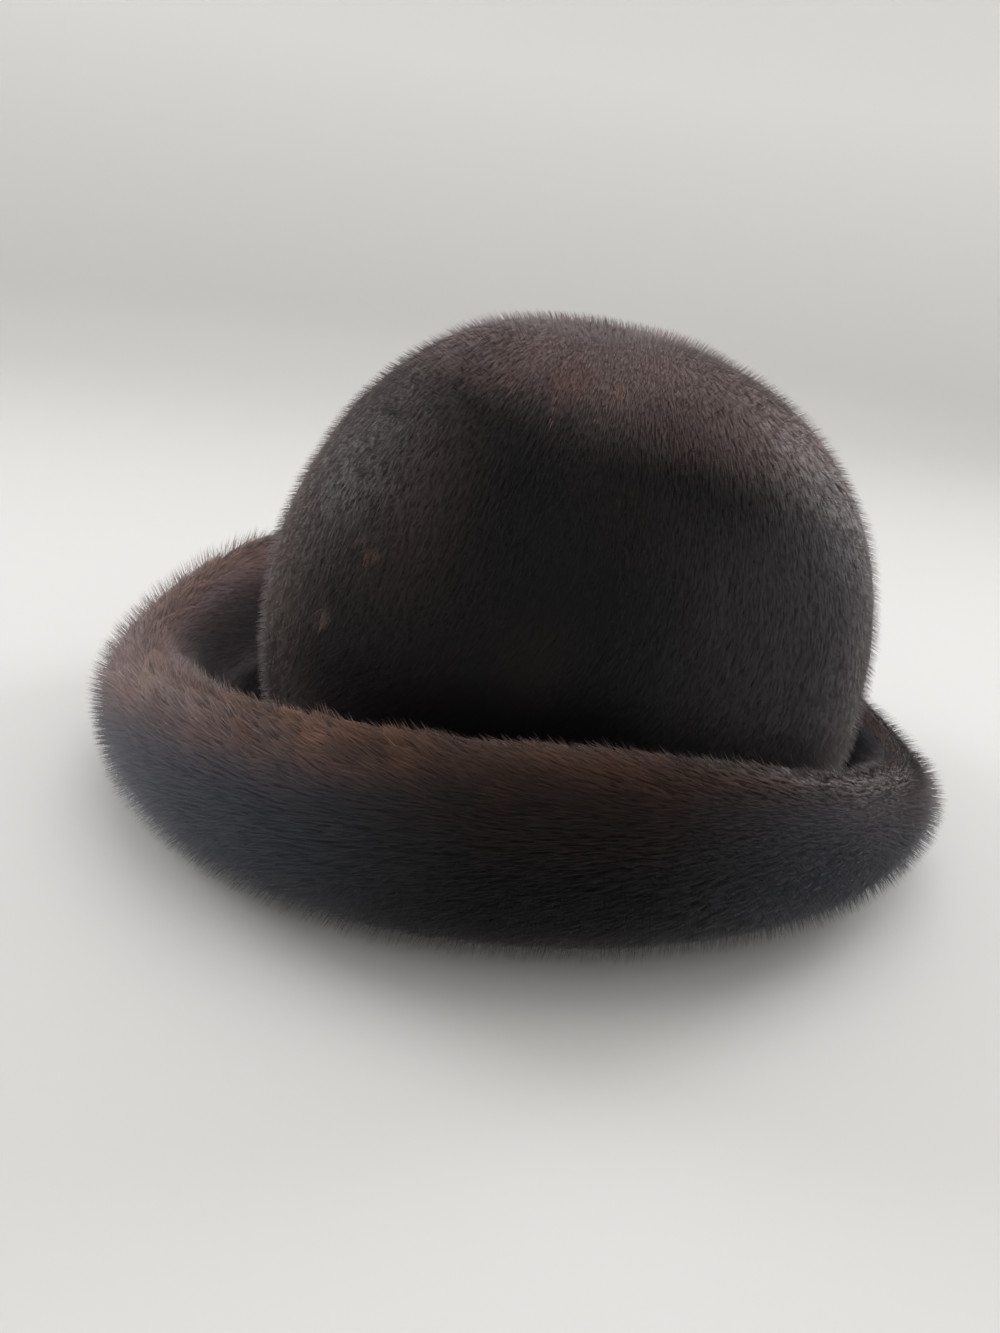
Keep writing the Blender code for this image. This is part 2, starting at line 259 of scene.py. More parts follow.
def unit(vectors):
    return vectors / np.maximum(np.linalg.norm(vectors, axis=-1, keepdims=True), 1e-9)


def level(vectors, normals):
    """The vectors without their part along the normals, at length 1."""
    return unit(vectors - normals * np.sum(vectors * normals, axis=1, keepdims=True))


def waves(points, length, dice, count=7):
    """A smooth value between about -1 and 1 at each point, which changes over about this length."""
    total = np.zeros(len(points))
    for _ in range(count):
        way = unit(dice.normal(size=3))
        total += np.sin(points @ way * (2 * math.pi / length) + dice.uniform(0, 2 * math.pi))
    return total / math.sqrt(count)


# Sizes and colours


class HideSizes(bpy.types.PropertyGroup):
    """Sizes of the two hides under the fur"""

    crown_depth: FloatProperty(name="Crown depth", description="Depth of the hide under the crown's form",
                               default=0.0010, min=0.0, unit="LENGTH")
    brim_depth: FloatProperty(name="Brim depth", description="Depth of the hide under the brim's form",
                              default=0.0006, min=0.0, unit="LENGTH")
    crown_wall: FloatProperty(name="Crown wall", description="Thickness of the crown, fur included",
                              default=0.012, min=0.002, unit="LENGTH")


class FurSizes(bpy.types.PropertyGroup):
    """Sizes of the fur"""

    crown_hairs: IntProperty(name="Crown hairs", description="Hairs on the crown", default=215000, min=100)
    brim_hairs: IntProperty(name="Brim hairs", description="Hairs on the brim", default=240000, min=100)
    crown_length: FloatProperty(name="Crown pile", description="Length of the crown's pile", default=0.0052,
                                min=0.001, unit="LENGTH")
    brim_length: FloatProperty(name="Brim pile", description="Length of the brim's pile", default=0.0072,
                               min=0.001, unit="LENGTH")
    hair_width: FloatProperty(name="Hair width", description="Width of a hair of the pile where it is widest",
                              default=0.00024, min=0.00002, unit="LENGTH")
    crown_tuft: FloatProperty(name="Crown tufts", description="Distance between tufts of the crown's hair",
                              default=0.0022, min=0.0005, unit="LENGTH")
    brim_tuft: FloatProperty(name="Brim tufts", description="Distance between tufts of the brim's hair",
                             default=0.0062, min=0.0005, unit="LENGTH")


class FurColours(bpy.types.PropertyGroup):
    """Colours of the fur"""

    # Darker than the hair, which is painted shade deep in the fur.
    root: FloatVectorProperty(name="Root", description="Hair near the hide", subtype="COLOR",
                              default=(0.0035, 0.0027, 0.0028), min=0.0, max=1.0)
    hair: FloatVectorProperty(name="Hair", description="Hair over most of the hat", subtype="COLOR",
                              default=(0.0058, 0.0050, 0.0054), min=0.0, max=1.0)
    chestnut: FloatVectorProperty(name="Chestnut", description="Hair along the brim's crest", subtype="COLOR",
                                  default=(0.232, 0.104, 0.058), min=0.0, max=1.0)
    # The colour of painted light on the crown's top and edges and on the brim's front, inside and back, and
    # of the worn marks on the crown.
    faded: FloatVectorProperty(name="Faded", description="Hair bleached by the light, on the crown's top",
                               subtype="COLOR", default=(0.300, 0.208, 0.198), min=0.0, max=1.0)
    # A painted cool sheen on the hat's ends and far side.
    bloom: FloatVectorProperty(name="Bloom", description="Cool bloom on the hat's ends and far side",
                               subtype="COLOR", default=(0.088, 0.099, 0.124), min=0.0, max=1.0)
    crown_sheen: FloatVectorProperty(name="Crown sheen", description="Gleam of the crown seen at a low angle",
                                     subtype="COLOR", default=(0.95, 0.84, 0.84), min=0.0, max=1.0)
    brim_sheen: FloatVectorProperty(name="Brim sheen", description="Gleam of the brim seen at a low angle",
                                    subtype="COLOR", default=(0.86, 0.81, 0.82), min=0.0, max=1.0)
    inside: FloatVectorProperty(name="Inside", description="The plain inside of the crown", subtype="COLOR",
                                default=(0.012, 0.011, 0.011), min=0.0, max=1.0)


class StageLook(bpy.types.PropertyGroup):
    """Tone of the stage and strength of its light"""

    floor: FloatVectorProperty(name="Floor", description="Tone of the floor", subtype="COLOR",
                               default=(0.700, 0.695, 0.687), min=0.0, max=1.0)
    wall: FloatVectorProperty(name="Wall", description="Tone of the wall all round", subtype="COLOR",
                              default=(0.960, 0.955, 0.945), min=0.0, max=1.0)
    sky: FloatProperty(name="Sky", description="Strength of the light all round", default=0.76, min=0.0)
    lamp: FloatProperty(name="Lamp", description="Strength of the large lamp above", default=6.5, min=0.0,
                        unit="POWER")
    side_lamps: FloatProperty(name="Side lamps", description="Strength of each lamp beyond the far side",
                              default=0.9, min=0.0, unit="POWER")


class HatSettings(bpy.types.PropertyGroup):
    """All settings of the fur hat"""

    hide: PointerProperty(type=HideSizes)
    fur: PointerProperty(type=FurSizes)
    colours: PointerProperty(type=FurColours)
    stage: PointerProperty(type=StageLook)


# Materials


class Wire:
    """A socket of a shader whose values Python's operators work on, by adding nodes."""

    def __init__(self, tree, socket):
        self.tree = tree
        self.socket = socket

    def node(self, kind, settings=None, inputs=None, output=0):
        """Adds a node: its type, its settings, the values or wires of its sockets, and the output to use."""
        made = self.tree.nodes.new(kind)
        for name, value in (settings or {}).items():
            setattr(made, name, value)
        for name, value in (inputs or {}).items():
            if isinstance(value, Wire):
                self.tree.links.new(value.socket, made.inputs[name])
            else:
                made.inputs[name].default_value = value
        return Wire(self.tree, made.outputs[output] if made.outputs else None)

    def maths(self, operation, first, second, clamp=False):
        settings = {"operation": operation, "use_clamp": clamp}
        return self.node("ShaderNodeMath", settings, {0: first, 1: second})

    def __add__(self, other):
        return self.maths("ADD", self, other)

    def __mul__(self, other):
        return self.maths("MULTIPLY", self, other)

    __radd__ = __add__
    __rmul__ = __mul__

    def power(self, exponent):
        return self.maths("POWER", self, exponent)

    def clamped(self):
        return self.maths("ADD", self, 0.0, clamp=True)

    def choose(self, low, high):
        """The colour low where this wire is 0 and high where it is 1."""
        sockets = {"Factor": self, 6: low, 7: high}
        return self.node("ShaderNodeMix", {"data_type": "RGBA"}, sockets, output=2)

    def scaled(self, colour):
        """The colour made lighter or darker by this wire."""
        value = {"Value": self, "Color": colour}
        return self.node("ShaderNodeHueSaturation", None, value)


def new_material(name):
    material = bpy.data.materials.new(name)
    material.use_nodes = True
    material.node_tree.nodes.clear()
    return material, Wire(material.node_tree, None)


def finish_material(start, sockets):
    """Ends a material in a Principled shader with these sockets."""
    shader = start.node("ShaderNodeBsdfPrincipled", None, sockets)
    start.node("ShaderNodeOutputMaterial", None, {"Surface": shader})


def opaque(colour):
    return (*colour, 1.0)


def value_of(start, name):
    """The value of one of the mesh's own attributes."""
    return start.node("ShaderNodeAttribute", {"attribute_name": name}, None, output=2)


def outward_way(start):
    """The way that the hide faces under each hair, for both sides of the hair alike."""
    own = start.node("ShaderNodeAttribute", {"attribute_name": "outward"}, None, output=1)
    turned = {"vector_type": "NORMAL", "convert_from": "OBJECT", "convert_to": "WORLD"}
    return start.node("ShaderNodeVectorTransform", turned, {"Vector": own})


def fur_material(name, sheen, weight):
    """Hair: dark at the root, which is painted shade, with a sheen, and the tone, chestnut, wear with painted
    light, and painted cool sheen that it carries.
    """
    colours = bpy.context.scene.fur_hat.colours
    material, start = new_material(name)
    along, tone = value_of(start, "along"), value_of(start, "tone")
    chestnut, faded = value_of(start, "chestnut"), value_of(start, "faded")
    bloom = value_of(start, "bloom")
    colour = along.power(HAIR_ONSET).choose(opaque(colours.root), opaque(colours.hair))
    colour = (bloom * along.power(PAINTED_SHEEN_ONSET)).clamped().choose(colour, opaque(colours.bloom))
    colour = (faded * along.power(WEAR_AND_PAINTED_LIGHT_ONSET)).clamped().choose(colour, opaque(colours.faded))
    colour = (chestnut * along.power(CHESTNUT_ONSET)).clamped().choose(colour, opaque(colours.chestnut))
    colour = (tone * TONE_STEP + 1.0).scaled(colour)
    finish_material(start, {
        "Base Color": colour,
        "Roughness": 0.50,
        "Specular IOR Level": 0.18,
        "Sheen Weight": weight,
        "Sheen Roughness": 0.36,
        "Sheen Tint": opaque(sheen),
        "Normal": outward_way(start),
    })
    return material


def crown_fur_material():
    return fur_material("crown_mink", bpy.context.scene.fur_hat.colours.crown_sheen, 0.58)


def brim_fur_material():
    return fur_material("brim_mink", bpy.context.scene.fur_hat.colours.brim_sheen, 0.42)


def inside_material():
    """The plain dark cloth inside the crown."""
    colours = bpy.context.scene.fur_hat.colours
    material, start = new_material("plain_inside")
    place = start.node("ShaderNodeTexCoord", None, None, output=3)
    weave = start.node("ShaderNodeTexNoise", None, {"Vector": place, "Scale": 1500.0, "Detail": 2.0})
    colour = (weave * 0.6 + 0.7).scaled(opaque(colours.inside))
    bump = start.node("ShaderNodeBump", None, {"Height": weave, "Strength": 0.4, "Distance": 0.0005})
    finish_material(start, {"Base Color": colour, "Roughness": 0.8, "Normal": bump})
    return material


def stage_material():
    """The pale floor, which grows a little paler as it rises into the wall."""
    look = bpy.context.scene.fur_hat.stage
    material, start = new_material("pale_stage")
    place = start.node("ShaderNodeTexCoord", None, None, output=3)
    height = place.node("ShaderNodeSeparateXYZ", None, {"Vector": place}, output=2)
    colour = (height * 2.0).clamped().choose(opaque(look.floor), opaque(look.wall))
    finish_material(start, {"Base Color": colour, "Roughness": 0.75, "Specular IOR Level": 0.2})
    return material


def kept_material(maker):
    """The material that this function makes, made once."""
    name = maker.__name__
    if name not in kept_material.made:
        kept_material.made[name] = maker()
    return kept_material.made[name]


kept_material.made = {}


# Shaping


def deselect_all():
    if bpy.context.mode != "OBJECT":
        bpy.ops.object.mode_set(mode="OBJECT")
    bpy.ops.object.select_all(action="DESELECT")


def apply_modifier(piece, kind, **settings):
    """Adds a modifier to the active object and applies it."""
    modifier = piece.modifiers.new(kind.lower(), kind)
    for name, value in settings.items():
        setattr(modifier, name, value)
    bpy.ops.object.modifier_apply(modifier=modifier.name)


def sort_faces(mesh):
    """Puts the faces of a mesh in an order that is the same in every run, which a new sphere's is not."""
    places = [point.co.copy() for point in mesh.vertices]
    faces = []
    for face in mesh.polygons:
        corners = list(face.vertices)
        first = corners.index(min(corners))
        faces.append(corners[first:] + corners[:first])
    mesh.clear_geometry()
    mesh.from_pydata(places, [], sorted(faces))


def hand_over(piece, node):
    """Puts a finished piece on the hat's only body."""
    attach(piece, "root")
    if node:
        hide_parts(node)


class FURHAT_OT_crown_hide(bpy.types.Operator):
    """Makes the crown's hide: a domed shell, open below"""

    bl_idname = "fur_hat.crown_hide"
    bl_label = "Crown Hide"

    def execute(self, context):
        sizes = context.scene.fur_hat.hide
        low, half = CROWN_LOW, (CROWN_HIGH - CROWN_LOW) / 2
        deselect_all()
        bpy.ops.mesh.primitive_uv_sphere_add(segments=DOME_SEGMENTS, ring_count=DOME_RINGS, radius=1.0,
                                             location=(*CROWN_MIDDLE, low.z))
        hide = context.object
        hide.name = hide.data.name = "crown_hide"
        bpy.ops.transform.resize(value=(half.x * DOME_SPARE, half.y * DOME_SPARE, half.z * 2 * DOME_SPARE))
        bpy.ops.object.transform_apply(location=True, rotation=True, scale=True)
        bpy.ops.object.mode_set(mode="EDIT")
        bpy.ops.mesh.select_all(action="SELECT")
        bpy.ops.mesh.bisect(plane_co=(0, 0, low.z + DOME_CUT), plane_no=(0, 0, 1), clear_inner=True)
        bpy.ops.object.mode_set(mode="OBJECT")
        sort_faces(hide.data)
        apply_modifier(hide, "SHRINKWRAP", target=frame["nodes"]["crown"], wrap_method="PROJECT",
                       use_negative_direction=True, use_positive_direction=False)
        apply_modifier(hide, "SMOOTH", factor=0.5, iterations=8)
        apply_modifier(hide, "DISPLACE", strength=-sizes.crown_depth, mid_level=0.0)
        apply_modifier(hide, "SOLIDIFY", thickness=sizes.crown_wall - sizes.crown_depth, offset=-1.0,
                       material_offset=1, material_offset_rim=1)
        bpy.ops.object.shade_smooth()
        colour_hide(hide, crown_look, CROWN_SEED)
        hide.data.materials.append(kept_material(crown_fur_material))
        hide.data.materials.append(kept_material(inside_material))
        hand_over(hide, "crown")
        return {"FINISHED"}


class FURHAT_OT_brim_hide(bpy.types.Operator):
    """Makes the brim's hide: the rolled ring with its locks smoothed"""

    bl_idname = "fur_hat.brim_hide"
    bl_label = "Brim Hide"

    def execute(self, context):
        sizes = context.scene.fur_hat.hide
        deselect_all()
        hide = bpy.data.objects.new("brim_hide", frame["nodes"]["brim"].data.copy())
        context.scene.collection.objects.link(hide)
        context.view_layer.objects.active = hide
        hide.select_set(True)
        hide.data.materials.clear()
        bpy.ops.object.mode_set(mode="EDIT")
        bpy.ops.mesh.select_all(action="SELECT")
        bpy.ops.mesh.remove_doubles(threshold=0.00001)
        bpy.ops.mesh.tris_convert_to_quads(face_threshold=math.pi, shape_threshold=math.pi)
        bpy.ops.mesh.vertices_smooth(factor=0.5, repeat=5)
        bpy.ops.object.mode_set(mode="OBJECT")
        apply_modifier(hide, "SUBSURF", levels=1, render_levels=1)
        apply_modifier(hide, "DISPLACE", strength=-sizes.brim_depth, mid_level=0.0)
        bpy.ops.object.shade_smooth()
        colour_hide(hide, brim_look, BRIM_SEED)
        hide.data.materials.append(kept_material(brim_fur_material))
        hand_over(hide, "brim")
        return {"FINISHED"}


# Fur

Skin = namedtuple("Skin", "points normals")

# The fur of one hide: the length of its pile, the distance between its tufts, the way that the hairs lie, and
# their look at each place. That is their length, how unruly they are, how far they gather in tufts, the
# colours they carry, and the degrees by which they rise: raised, which each coat follows by its own share,
# and loft, which all coats follow alike.
Fur = namedtuple("Fur", "name length tuft nap look seed")


def read_points(mesh):
    """The places and normals of a mesh's points."""
    places = np.empty(len(mesh.vertices) * 3, np.float32)
    mesh.vertices.foreach_get("co", places)
    normals = np.empty(len(mesh.vertices) * 3, np.float32)
    mesh.vertex_normals.foreach_get("vector", normals)
    return places.reshape(-1, 3).astype(np.float64), normals.reshape(-1, 3).astype(np.float64)


def read_skin(piece, furred):
    """The corners and corner normals of the triangles of a hide that furred accepts."""
    mesh = piece.data
    mesh.calc_loop_triangles()
    places, normals = read_points(mesh)
    corners = np.empty(len(mesh.loop_triangles) * 3, np.int32)
    mesh.loop_triangles.foreach_get("vertices", corners)
    corners = corners.reshape(-1, 3)
    taken = furred(places[corners].mean(axis=1), unit(normals[corners].mean(axis=1)))
    corners = corners[taken]
    return Skin(places[corners], normals[corners])


def areas_of(skin):
    """The area of each triangle of a skin."""
    sides = skin.points[:, 1:] - skin.points[:, :1]
    return np.linalg.norm(np.cross(sides[:, 0], sides[:, 1]), axis=1) / 2


def sow(skin, count, dice):
    """Evenly spread places on a skin, with its normals there."""
    areas = areas_of(skin)
    reach = np.cumsum(areas)
    picks = np.searchsorted(reach, (np.arange(count) + dice.random(count)) / count * reach[-1])
    picks = np.minimum(picks, len(areas) - 1)
    first, second = dice.random(count), dice.random(count)
    folded = first + second > 1
    first[folded], second[folded] = 1 - first[folded], 1 - second[folded]
    weights = np.stack([1 - first - second, first, second], axis=1)[:, :, None]
    return (skin.points[picks] * weights).sum(axis=1), unit((skin.normals[picks] * weights).sum(axis=1))


def by_place(places, bits=6):
    """An order in which hairs that stand near each other come near each other."""
    low = places.min(axis=0)
    cells = ((places - low) / (places.max(axis=0) - low + 1e-9) * (2**bits - 1)).astype(np.int64)
    code = np.zeros(len(places), np.int64)
    for bit in range(bits):
        for axis in range(3):
            code |= ((cells[:, axis] >> bit) & 1) << (3 * bit + axis)
    return np.argsort(code, kind="stable")


def keep_value(mesh, name, values):
    """Keeps a number or a way for each point of a mesh as its attribute."""
    if values.ndim == 2:
        kept = mesh.attributes.new(name, "FLOAT_VECTOR", "POINT")
        kept.data.foreach_set("vector", values.astype(np.float32).ravel())
    else:
        mesh.attributes.new(name, "FLOAT", "POINT").data.foreach_set("value", values.astype(np.float32))


def colour_hide(hide, look, seed):
    """Gives a hide the colours of the fur that stands on it, so that it shows through as more of it."""
    mesh = hide.data
    places, normals = read_points(mesh)
    colours = look(places, normals, np.random.default_rng(seed))
    keep_value(mesh, "along", np.full(len(places), UNDERCOAT))
    keep_value(mesh, "chestnut", colours["chestnut"] * sum(TUFT_TINTS) / 2)
    keep_value(mesh, "faded", colours["faded"])
    keep_value(mesh, "bloom", colours["bloom"])
    keep_value(mesh, "outward", normals)


def mesh_of_hairs(name, roots, bends, tips, widths, across, start, values):
    """A mesh of narrow leaves, two triangles for each hair, with each hair's own values and place in its map.
    start is how far along it the colour of its root already is."""
    count = len(roots)
    half = across * widths[:, None] / 2
    points = np.stack([roots, roots + bends - half, roots + bends + half, roots + tips], axis=1)
    mesh = bpy.data.meshes.new(name)
    mesh.vertices.add(4 * count)
    mesh.vertices.foreach_set("co", points.astype(np.float32).ravel())
    base = (4 * np.arange(count, dtype=np.int32))[:, None]
    corners = np.concatenate([base + np.array([[0, 2, 1]]), base + np.array([[1, 2, 3]])], axis=1).ravel()
    mesh.loops.add(6 * count)
    mesh.loops.foreach_set("vertex_index", corners.astype(np.int32))
    mesh.polygons.add(2 * count)
    mesh.polygons.foreach_set("loop_start", np.arange(0, 6 * count, 3, dtype=np.int32))
    mesh.polygons.foreach_set("loop_total", np.full(2 * count, 3, np.int32))
    keep_value(mesh, "along", blend(start[:, None], 1.0, np.array([[0.0, BEND, BEND, 1.0]])).ravel())
    for key, value in values.items():
        keep_value(mesh, key, np.repeat(value, 4, axis=0))

    # In the map, each hair has a cell of its own.
    cells = math.ceil(math.sqrt(count))
    cell = np.arange(count)
    corner = np.stack([cell % cells, cell // cells], axis=1)[:, None, :]
    leaf = np.array([[0.5, 0.1], [0.9, 0.5], [0.1, 0.5], [0.1, 0.5], [0.9, 0.5], [0.5, 0.95]])[None]
    chart = mesh.uv_layers.new(name="OFBake")
    chart.uv.foreach_set("vector", ((corner + leaf) / cells).astype(np.float32).ravel())
    mesh.update()
    mesh.validate()
    return mesh


def lay_hairs(places, normals, coat, fur, scatter, dice):
    """The lengths, bends, tips and look of hairs that stand at these places. scatter is how much each lies
    its own way."""
    count = len(places)
    look = fur.look(places, normals, np.random.default_rng(fur.seed))
    lengths = fur.length * coat.length * look["length"] * dice.uniform(*LENGTHS, count)
    stray = (coat.stray * look["unruly"])[:, None]
    nap = level(fur.nap(places, normals) + dice.normal(0, scatter, (count, 3)) * stray, normals)
    field = np.random.default_rng(fur.seed + FIELD_SEED)
    nap = unit(nap + np.cross(normals, nap) * stray * waves(places, TURN_WAVE, field)[:, None])
    raised = look["raised"] * coat.follow + look["loft"]
    raised = raised + dice.normal(0, RISE_BY_HAIR, count) * (TAMEST + look["unruly"])
    raised = raised + RISE_BY_PLACE * stray[:, 0] * waves(places, RISE_WAVE, field)
    low = np.radians(np.maximum(coat.root + raised, LEAST_ROOT))[:, None]
    high = np.radians(np.maximum(coat.tip + raised, LEAST_TIP))[:, None]
    bends = (nap * np.cos(low) + normals * np.sin(low)) * (lengths * BEND)[:, None]
    tips = bends + (nap * np.cos(high) + normals * np.sin(high)) * (lengths * (1 - BEND))[:, None]
    return lengths, bends, tips, look


def nearest_of(centres, places):
    """The number of the centre nearest to each place."""
    tree = KDTree(len(centres))
    for number, centre in enumerate(centres):
        tree.insert(centre, number)
    tree.balance()
    return np.array([tree.find(place)[1] for place in places])


def grow(hide, furred, count, fur, material):
    """Grows the coats of fur on a hide, one piece for each coat."""
    sizes = bpy.context.scene.fur_hat.fur
    skin = read_skin(hide, furred)
    tuft_dice = np.random.default_rng(fur.seed + TUFT_SEED)
    centres, outward = sow(skin, int(areas_of(skin).sum() / fur.tuft**2), tuft_dice)
    tuft_tones = tuft_dice.normal(0, TUFT_TONES, len(centres))
    tuft_tints = tuft_dice.uniform(*TUFT_TINTS, len(centres))
    for coat in COATS:
        dice = np.random.default_rng(fur.seed + coat.seed)
        number = int(count * coat.share)
        roots, normals = sow(skin, number, dice)
        order = by_place(roots)
        roots, normals = roots[order], normals[order]
        lengths, bends, tips, look = lay_hairs(roots, normals, coat, fur, HAIR_SCATTER, dice)

        # Each hair's tip is drawn to the tip of the tuft that stands nearest.
        nearest = nearest_of(centres, roots)
        tuft_tips = lay_hairs(centres, outward, coat, fur, TUFT_SCATTER, dice)[2]
        drawn = (centres + tuft_tips)[nearest] - (roots + tips)
        far = np.linalg.norm(drawn, axis=1, keepdims=True)
        drawn *= np.minimum(1.0, DRAW_LIMIT * lengths[:, None] / np.maximum(far, 1e-6))
        gather = (coat.gather * look["gather"])[:, None]
        tips = tips + drawn * gather
        bends = bends + drawn * gather * DRAWN_BEND

        turn = dice.normal(0, TWIST, number)[:, None]
        level_side = unit(np.cross(tips, normals))
        raised_side = unit(np.cross(level_side, tips))
        across = level_side * np.cos(turn) + raised_side * np.sin(turn)
        widths = sizes.hair_width * coat.width * dice.uniform(*WIDTHS, number)
        tones = (dice.normal(0, HAIR_TONES, number) + tuft_tones[nearest]) * look["unruly"]
        shade = dice.normal(0, SHADE_SCATTER, (number, 3)) * look["unruly"][:, None]
        values = {
            "tone": np.clip(tones, *TONES),
            "chestnut": look["chestnut"] * tuft_tints[nearest] * coat.tint,
            "faded": look["faded"] * coat.tint,
            "bloom": look["bloom"],
            "outward": unit(normals + shade),
        }
        roots = roots - normals * SUNK
        for offsets in (bends, tips):
            offsets[:, 2] = np.maximum(offsets[:, 2], FLOOR_GAP - roots[:, 2])
        start = np.clip(EVEN_ROOT * (1 - look["unruly"]), *ROOT_SHARES)
        mesh = mesh_of_hairs(f"{fur.name}_{coat.name}", roots, bends, tips, widths, across, start, values)
        mesh.normals_split_custom_set_from_vertices(np.repeat(values["outward"], 4, axis=0))
        mesh.materials.append(material)
        piece = bpy.data.objects.new(mesh.name, mesh)
        bpy.context.scene.collection.objects.link(piece)
        hand_over(piece, None)


def crown_nap(places, normals):
    """The crown's nap runs down from a whorl near its peak, turning a little."""
    outward = np.array([1.0, 1.0, 0.0]) * (places - CROWN_WHORL)
    down = level(outward * WHORL_SPREAD - np.array([0.0, 0.0, WHORL_DROP]), normals)
    return unit(down + np.cross(normals, down) * WHORL_TURN)


def crown_look(places, normals, dice):
    """Short even plush, with light painted on its top and edges, and the crown's marks."""
    chestnut = FLECKS * ramp(waves(places, 0.05, dice), 0.3, 1.2)
    leftward, backward, upward = normals.T

    # Light is painted on the top, less on the far side and on the peak.
    faded = ramp(normals @ PAINTED_LIGHT_WAY, 0.44, 0.95) * (0.9 + 0.1 * waves(places, 0.03, dice))
    faded *= blend(FAR_SIDE_LEFT, 1.0, ramp(normals @ PAINTED_LIGHT_SIDE, -0.40, 0.15))
    faded *= 1 - PEAK_LOST * ramp(upward, 0.90, 0.99)

    # A little light is painted on the front's edge, most of all on its left shoulder, and on the back.
    shoulder = ramp(-backward, 0.30, 0.62) * ramp(upward, 0.05, 0.7)
    front = ramp(-backward, 0.74, 0.95)
    behind = ramp(backward, -0.10, 0.45) * (1 - ramp(backward, 0.72, 0.95)) * (1 - ramp(upward, 0.4, 0.7))
    painted_edge_light = (SHOULDER_PAINTED_LIGHT * shoulder + FRONT_EDGE_PAINTED_LIGHT * front) * ramp(leftward, -0.2, 0.3) + BACK_EDGE_PAINTED_LIGHT * behind
    faded = np.maximum(faded, painted_edge_light)
    chestnut = np.maximum(chestnut, FRONT_CHESTNUT_AND_PAINTED_SHEEN * front)

    # The marks have uneven edges.
    uneven = 1 + 0.35 * waves(places, 0.004, dice)
    for mark in MARKS:
        far = np.linalg.norm(places - np.array(mark[:3]), axis=1) / mark.radius
        share = 1 - ramp(far * uneven, 0.5, 1.1)
        chestnut = np.maximum(chestnut, mark.chestnut * share)
        faded = np.maximum(faded, mark.faded * share)

    whorl = np.exp(-np.sum((places - CROWN_WHORL)[:, :2] ** 2, axis=1) / WHORL_RADIUS**2)
    return {
        "length": 1.0 + 0.06 * waves(places, 0.03, dice),
        "raised": 3.0 * waves(places, 0.025, dice) + WHORL_RISE * whorl + CROWN_RISE,
        "loft": np.zeros(len(places)),
        "unruly": CROWN_UNRULY + WHORL_UNRULY * whorl,
        "gather": np.full(len(places), CROWN_GATHER),
        "chestnut": chestnut,
        "faded": np.clip(faded, 0, 1),
        "bloom": CROWN_PAINTED_SHEEN * behind,
    }


def round_the_brim(places, normals):
    """Where places are on the brim: the angle round the hat, the ways out and round it, and the angle of
    their normals, from 0 outwards over the crest, a quarter turn, to half a turn inwards."""
    flat = places[:, :2] - BRIM_MIDDLE
    out = np.zeros_like(places)
    out[:, :2] = unit(flat / BRIM_HALF**2)
    around = np.stack([-out[:, 1], out[:, 0], np.zeros(len(out))], axis=1)
    angle = np.arctan2(flat[:, 0] / BRIM_HALF[0], -flat[:, 1] / BRIM_HALF[1])
    facing = np.arctan2(normals[:, 2], (normals * out).sum(axis=1))
    return angle, out, around, facing


def brim_nap(places, normals):
    """The brim's nap runs round it one way, forwards on the left, and a little away from its widest line."""
    _, out, around, facing = round_the_brim(places, normals)
    over = -np.sin(facing)[:, None] * out + np.cos(facing)[:, None] * np.array([[0.0, 0.0, 1.0]])
    rise = np.clip((facing - NAP_LEVEL) / NAP_SPAN, -1, 1) * NAP_RISE
    return level(over * rise[:, None] - around, normals)


